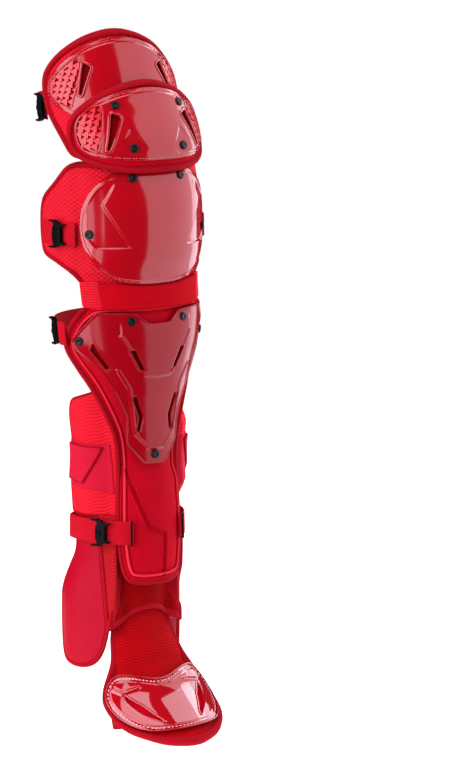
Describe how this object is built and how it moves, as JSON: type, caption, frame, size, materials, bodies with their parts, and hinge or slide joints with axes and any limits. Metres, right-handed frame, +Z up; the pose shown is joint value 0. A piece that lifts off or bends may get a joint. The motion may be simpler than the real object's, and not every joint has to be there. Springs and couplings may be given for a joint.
{
  "type": "catcher leg guard",
  "caption": "Padded leg guard for a baseball catcher, with riveted hard caps for thigh, knee, shin and toe, side wings and clip-on straps.",
  "frame": {"origin": "on the inner face of the shin liner at its middle, where the front of the wearer's shin rests; the guard stands upright as worn", "axes": "+Z up the leg from toe to thigh, -Y to the front of the wearer, -X to the outer side of a right leg, where the clips are"},
  "size_m": [0.1823, 0.2521, 0.738],
  "materials": {
    "shell_red": "glossy moulded shell",
    "pad_red": "woven liner over foam",
    "knit_red": "ribbed elastic knit",
    "web_red": "webbing",
    "flap_red": "smooth coated flap",
    "clip_black": "moulded nylon",
    "rivet_black": "black rivet head"
  },
  "bodies": {
    "root": {"thigh_pad": "pad_red", "thigh_shell": "shell_red", "upper_pad": "pad_red", "upper_shell": "shell_red", "knee_pad": "pad_red", "knee_shell": "shell_red", "knee_band": "pad_red", "gusset_outer": "knit_red", "gusset_inner": "knit_red", "shin_pad": "pad_red", "shin_shell": "shell_red", "rivet_upper_top_outer": "rivet_black", "rivet_upper_top_inner": "rivet_black", "rivet_upper_low_outer": "rivet_black", "rivet_upper_low_inner": "rivet_black", "rivet_knee_top_outer": "rivet_black", "rivet_knee_top_inner": "rivet_black", "rivet_knee_side_outer": "rivet_black", "rivet_knee_side_inner": "rivet_black", "rivet_shin_top_outer": "rivet_black", "rivet_shin_top_inner": "rivet_black", "rivet_shin_side_outer": "rivet_black", "rivet_shin_side_inner": "rivet_black", "rivet_shin_low": "rivet_black", "calf_wing_outer": "knit_red", "calf_patch_outer": "pad_red", "ankle_strip_outer": "knit_red", "ankle_flap_outer": "flap_red", "calf_wing_inner": "knit_red", "calf_patch_inner": "pad_red", "ankle_strip_inner": "knit_red", "ankle_flap_inner": "flap_red", "ankle_panel": "pad_red", "foot_pad": "pad_red", "toe_shell": "shell_red", "thigh_strap": "web_red", "knee_strap": "web_red", "knee_tab": "web_red", "calf_strap": "web_red", "lower_strap": "web_red", "lower_tab": "web_red", "foot_strap": "web_red", "thigh_clip": "clip_black", "knee_clip": "clip_black", "calf_clip": "clip_black", "lower_clip": "clip_black", "lower_bar_outer": "clip_black", "lower_bar_inner": "clip_black"}
  },
  "joints": []
}
